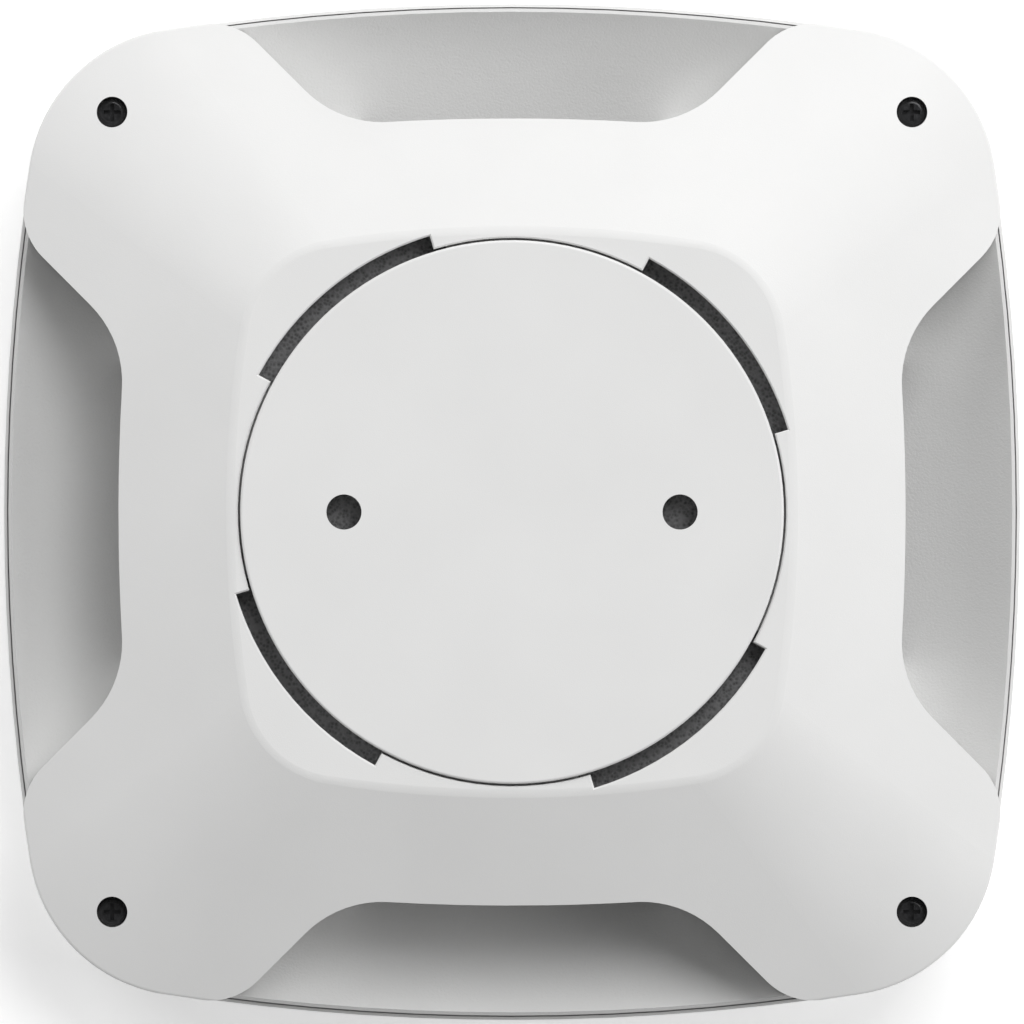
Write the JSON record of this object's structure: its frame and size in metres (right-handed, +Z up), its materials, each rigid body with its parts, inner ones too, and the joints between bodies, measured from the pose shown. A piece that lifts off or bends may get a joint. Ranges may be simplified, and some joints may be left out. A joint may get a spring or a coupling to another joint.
{
  "type": "ceiling smoke detector",
  "caption": "Square ceiling smoke detector with bowed sides, diagonal legs over open smoke inlets and a round bayonet bracket, shown from its mounting side.",
  "frame": {"origin": "centre of the bracket's ceiling face", "axes": "+Z up into the ceiling, the detector hangs towards -Z; +X along the line of the two ceiling screws, +Y across it"},
  "size_m": [0.132, 0.132, 0.031],
  "materials": {
    "cover_plastic": "fine moulded grain, white",
    "bracket_plastic": "fine moulded grain, white",
    "frame_plastic": "fine moulded grain, white",
    "black_steel": "black oxide, satin",
    "black_foam": "closed-cell foam, dull",
    "circuit_board": "solder mask, satin",
    "zinc_steel": "zinc plated",
    "component_black": "moulded, dull",
    "capacitor_can": "drawn can",
    "shield_can": "tin plated",
    "copper_wire": "enamelled winding",
    "cell_steel": "nickel plated",
    "battery_wrap": "plain shrink sleeve",
    "nickel_strip": "nickel plated",
    "chamber_black": "light-absorbing, dull",
    "mesh_steel": "etched sheet",
    "optic_resin": "tinted resin",
    "optic_dark": "dark resin",
    "piezo_brass": "plain",
    "led_lens": "clear resin",
    "light_diffuser": "milky diffuser",
    "switch_cap": "moulded, natural"
  },
  "bodies": {
    "bracket": {"mounting_bracket": "bracket_plastic"},
    "detector": {"rear_cover": "cover_plastic", "front_cover": "cover_plastic", "middle_frame": "frame_plastic", "corner_screws": "black_steel", "draught_pad": "black_foam", "main_board": "circuit_board", "front_board": "circuit_board", "board_screws": "zinc_steel", "air_deck": "frame_plastic", "microcontroller": "component_black", "capacitors": "capacitor_can", "radio_module": "shield_can", "antenna": "copper_wire", "cell_holder": "component_black", "backup_cell": "cell_steel", "battery_a": "battery_wrap", "battery_b": "battery_wrap", "battery_contacts": "nickel_strip", "contact_springs": "nickel_strip", "chamber_base": "chamber_black", "chamber_cap": "chamber_black", "insect_mesh": "mesh_steel", "infrared_emitter": "optic_resin", "photodiode": "optic_dark", "thermistor": "optic_dark", "sounder_housing": "chamber_black", "piezo_disc": "piezo_brass", "sounder_gasket": "black_foam", "link_header": "component_black", "link_pins": "piezo_brass", "status_leds": "led_lens", "light_ring": "light_diffuser", "test_switch_body": "component_black", "tamper_switch_body": "component_black", "power_switch_body": "component_black", "tamper_spring": "nickel_strip"},
    "test_button": {"test_button": "cover_plastic", "test_switch_plunger": "switch_cap"},
    "tamper_plunger": {"tamper_plunger": "switch_cap"},
    "power_button": {"power_button": "switch_cap"}
  },
  "joints": [
    {"name": "bayonet_twist", "type": "hinge", "parent": "bracket", "child": "detector", "pos_m": [0, 0, 0], "axis": [0, 0, 1], "range_deg": [-45, 0]},
    {"name": "test_button_press", "type": "slide", "parent": "detector", "child": "test_button", "axis": [0, 0, 1], "range_m": [0, 0.0007], "stiffness_N_per_m": 1500, "springref_m": -0.0005},
    {"name": "tamper_press", "type": "slide", "parent": "detector", "child": "tamper_plunger", "axis": [0, 0, -1], "range_m": [0, 0.0005], "stiffness_N_per_m": 300, "springref_m": -0.002, "deforming": ["tamper_spring"]},
    {"name": "power_button_press", "type": "slide", "parent": "detector", "child": "power_button", "axis": [0, 0, -1], "range_m": [0, 0.0004], "stiffness_N_per_m": 800, "springref_m": -0.0005}
  ]
}
